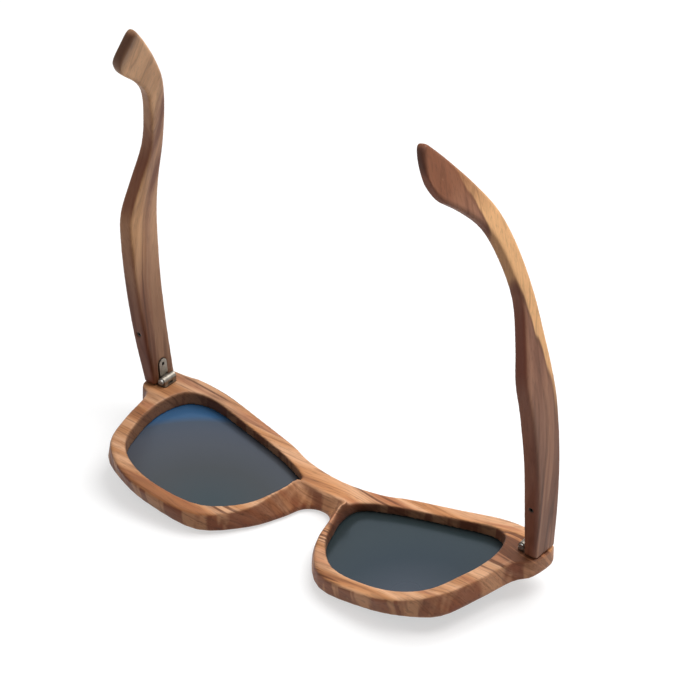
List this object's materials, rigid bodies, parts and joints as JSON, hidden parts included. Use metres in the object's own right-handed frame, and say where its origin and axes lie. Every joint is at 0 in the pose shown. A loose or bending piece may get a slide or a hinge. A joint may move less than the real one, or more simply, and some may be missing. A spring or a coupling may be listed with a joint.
{
  "type": "wooden sunglasses",
  "caption": "Wooden sunglasses with a wrapped front, dark curved lenses held in grooves, and curved temples that fold inwards on sprung cartridge hinges; worn on the nose and ears.",
  "frame": {"origin": "under the middle of the front, on the surface that the glasses lie on", "axes": "+Z along the open temples, away from the lenses; +Y towards the brow; +X to the wearer's right"},
  "size_m": [0.1448, 0.0492, 0.1471],
  "materials": {
    "front_wood": "satin oiled",
    "temple_wood": "satin oiled",
    "lens": "polished tinted",
    "nickel": "nickel plated",
    "screw_steel": "satin",
    "spring_wire": "drawn"
  },
  "bodies": {
    "front": {"front_frame": "front_wood", "left_lens": "lens", "left_hinge_leaf": "nickel", "left_upper_leaf_screw": "screw_steel", "left_lower_leaf_screw": "screw_steel", "left_pivot_screw": "screw_steel", "right_lens": "lens", "right_hinge_leaf": "nickel", "right_upper_leaf_screw": "screw_steel", "right_lower_leaf_screw": "screw_steel", "right_pivot_screw": "screw_steel"},
    "left_core": {"left_spring_core": "nickel", "left_core_stop": "screw_steel", "left_coil_spring": "spring_wire"},
    "left_arm": {"left_temple": "temple_wood", "left_hinge_housing": "nickel", "left_housing_bush": "screw_steel", "left_retaining_pin": "screw_steel"},
    "right_core": {"right_spring_core": "nickel", "right_core_stop": "screw_steel", "right_coil_spring": "spring_wire"},
    "right_arm": {"right_temple": "temple_wood", "right_hinge_housing": "nickel", "right_housing_bush": "screw_steel", "right_retaining_pin": "screw_steel"}
  },
  "joints": [
    {"name": "left_fold", "type": "hinge", "parent": "front", "child": "left_core", "pos_m": [-0.06434, 0.0157, 0.01473], "axis": [0, 1, 0], "range_deg": [0, 82]},
    {"name": "left_flex", "type": "slide", "parent": "left_core", "child": "left_arm", "axis": [-0.0813, 0, 0.9967], "range_m": [0, 0.0015], "stiffness_N_per_m": 2000, "springref_m": -0.001, "deforming": ["left_coil_spring"]},
    {"name": "right_fold", "type": "hinge", "parent": "front", "child": "right_core", "pos_m": [0.06434, 0.0157, 0.01473], "axis": [0, -1, 0], "range_deg": [0, 74]},
    {"name": "right_flex", "type": "slide", "parent": "right_core", "child": "right_arm", "axis": [0.0813, 0, 0.9967], "range_m": [0, 0.0015], "stiffness_N_per_m": 2000, "springref_m": -0.001, "deforming": ["right_coil_spring"]}
  ]
}
